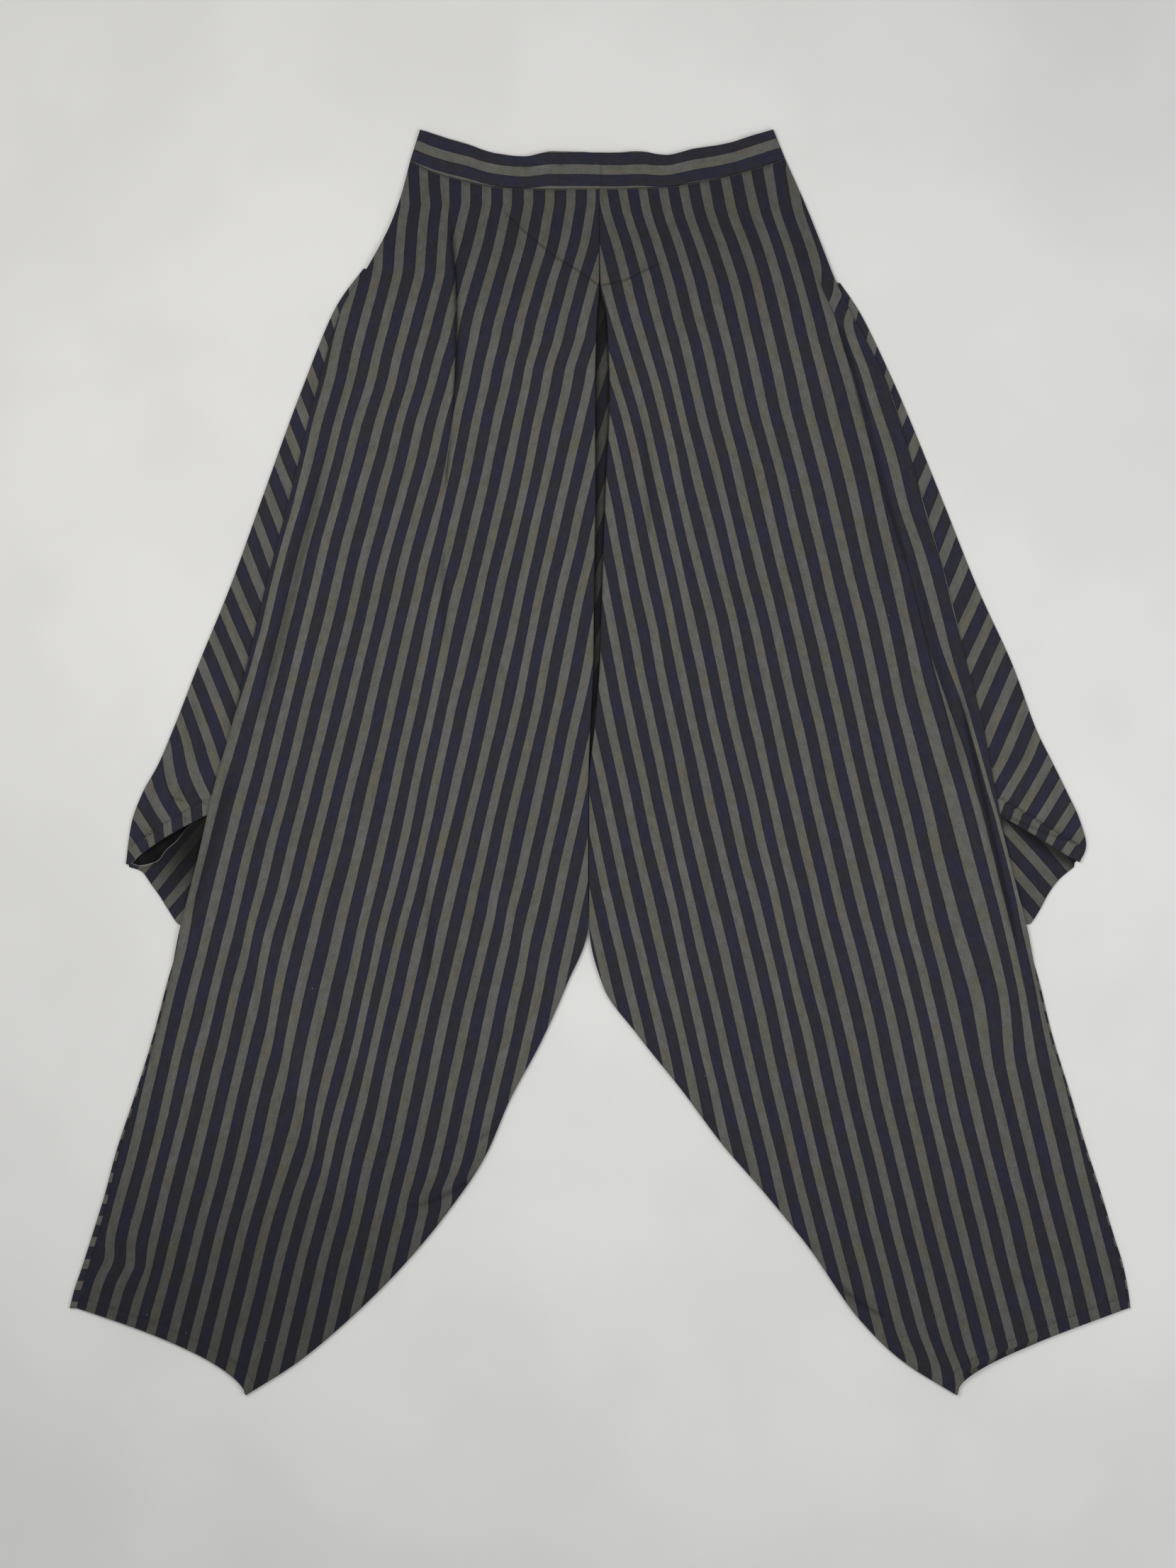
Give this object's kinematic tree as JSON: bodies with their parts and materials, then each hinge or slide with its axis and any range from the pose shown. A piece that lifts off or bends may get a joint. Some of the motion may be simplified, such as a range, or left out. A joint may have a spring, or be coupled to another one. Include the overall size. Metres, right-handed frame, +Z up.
{
  "type": "hakama trousers",
  "caption": "Wide striped hakama trousers laid flat, with a banded waist, a centre pleat, a dropped crotch, curved inner legs and hanging side wings.",
  "frame": {"origin": "middle of the garment's box, on the surface that it lies on", "axes": "+Y from the hems to the waist, +X to the viewer's right with the front up, +Z up out of the front"},
  "size_m": [0.8974, 1.0698, 0.0109],
  "materials": {
    "striped_cotton": "matt plain weave in navy and olive stripes",
    "waistband_cotton": "matt plain weave, stripes along the band"
  },
  "bodies": {
    "root": {"front_left": "striped_cotton", "front_right": "striped_cotton", "back_left": "striped_cotton", "back_right": "striped_cotton", "pleat_underlay": "striped_cotton", "wing_front_left": "striped_cotton", "wing_front_right": "striped_cotton", "wing_back_left": "striped_cotton", "wing_back_right": "striped_cotton", "wing_lower_left": "striped_cotton", "wing_lower_right": "striped_cotton", "side_strip_left": "striped_cotton", "side_strip_right": "striped_cotton", "waistband_front": "waistband_cotton", "waistband_back": "waistband_cotton"}
  },
  "joints": []
}
